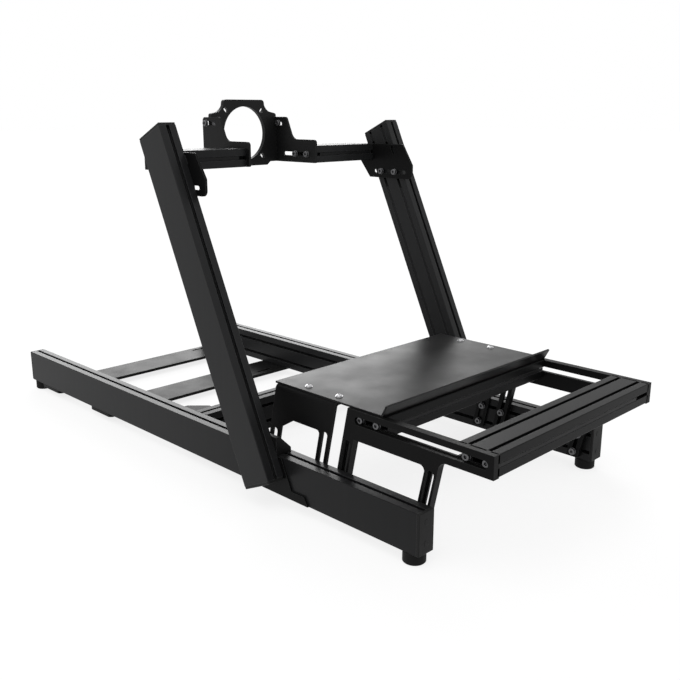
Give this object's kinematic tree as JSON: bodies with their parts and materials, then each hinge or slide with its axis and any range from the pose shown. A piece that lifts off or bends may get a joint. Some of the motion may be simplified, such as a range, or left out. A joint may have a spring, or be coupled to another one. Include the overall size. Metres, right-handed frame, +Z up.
{
  "type": "sim racing cockpit",
  "caption": "Open frame of slotted aluminium profiles with a raised pedal deck, heel plate, leaning uprights and a tilting plate for a wheel base.",
  "frame": {"origin": "middle of the overall footprint on the floor, between the four feet", "axes": "+Y forward to the pedal end, +X to the driver's right, +Z up"},
  "size_m": [0.704, 1.5276, 0.7775],
  "materials": {
    "profile": "black anodised, satin",
    "plate": "black powder coat, fine texture",
    "wheel_plate": "black anodised, satin",
    "bracket": "black coated casting",
    "heel": "black powder coat, satin",
    "cap": "moulded, matte",
    "foot": "matte"
  },
  "bodies": {
    "root": {"base_rail_right": "profile", "base_rail_left": "profile", "rail_cap_front_right": "cap", "rail_cap_front_left": "cap", "rail_cap_rear_right": "cap", "rail_cap_rear_left": "cap", "foot_front_right": "foot", "foot_front_left": "foot", "foot_rear_right": "foot", "foot_rear_left": "foot", "seat_plate_rear": "plate", "seat_plate_front": "plate", "cross_member": "profile", "corner_bracket_right": "bracket", "corner_bracket_left": "bracket", "rail_top_bracket_right": "bracket", "rail_top_bracket_left": "bracket", "upright_right": "profile", "upright_left": "profile", "upright_top_cap_right": "cap", "upright_top_cap_left": "cap", "upright_base_cap_right": "cap", "upright_base_cap_left": "cap", "upright_side_plate_right": "plate", "upright_side_plate_left": "plate", "arm_right": "profile", "arm_left": "profile", "arm_plate_right": "plate", "arm_plate_left": "plate", "wheel_bracket_right": "plate", "wheel_bracket_left": "plate", "wheel_mount_plate": "wheel_plate", "deck_side_plate_right": "plate", "deck_side_plate_left": "plate", "deck_beam_front": "profile", "deck_beam_rear": "profile", "beam_end_front_right": "plate", "beam_end_front_left": "plate", "beam_end_rear_right": "plate", "beam_end_rear_left": "plate", "heel_plate": "heel", "heel_bracket_right": "plate", "heel_bracket_left": "plate"}
  },
  "joints": []
}
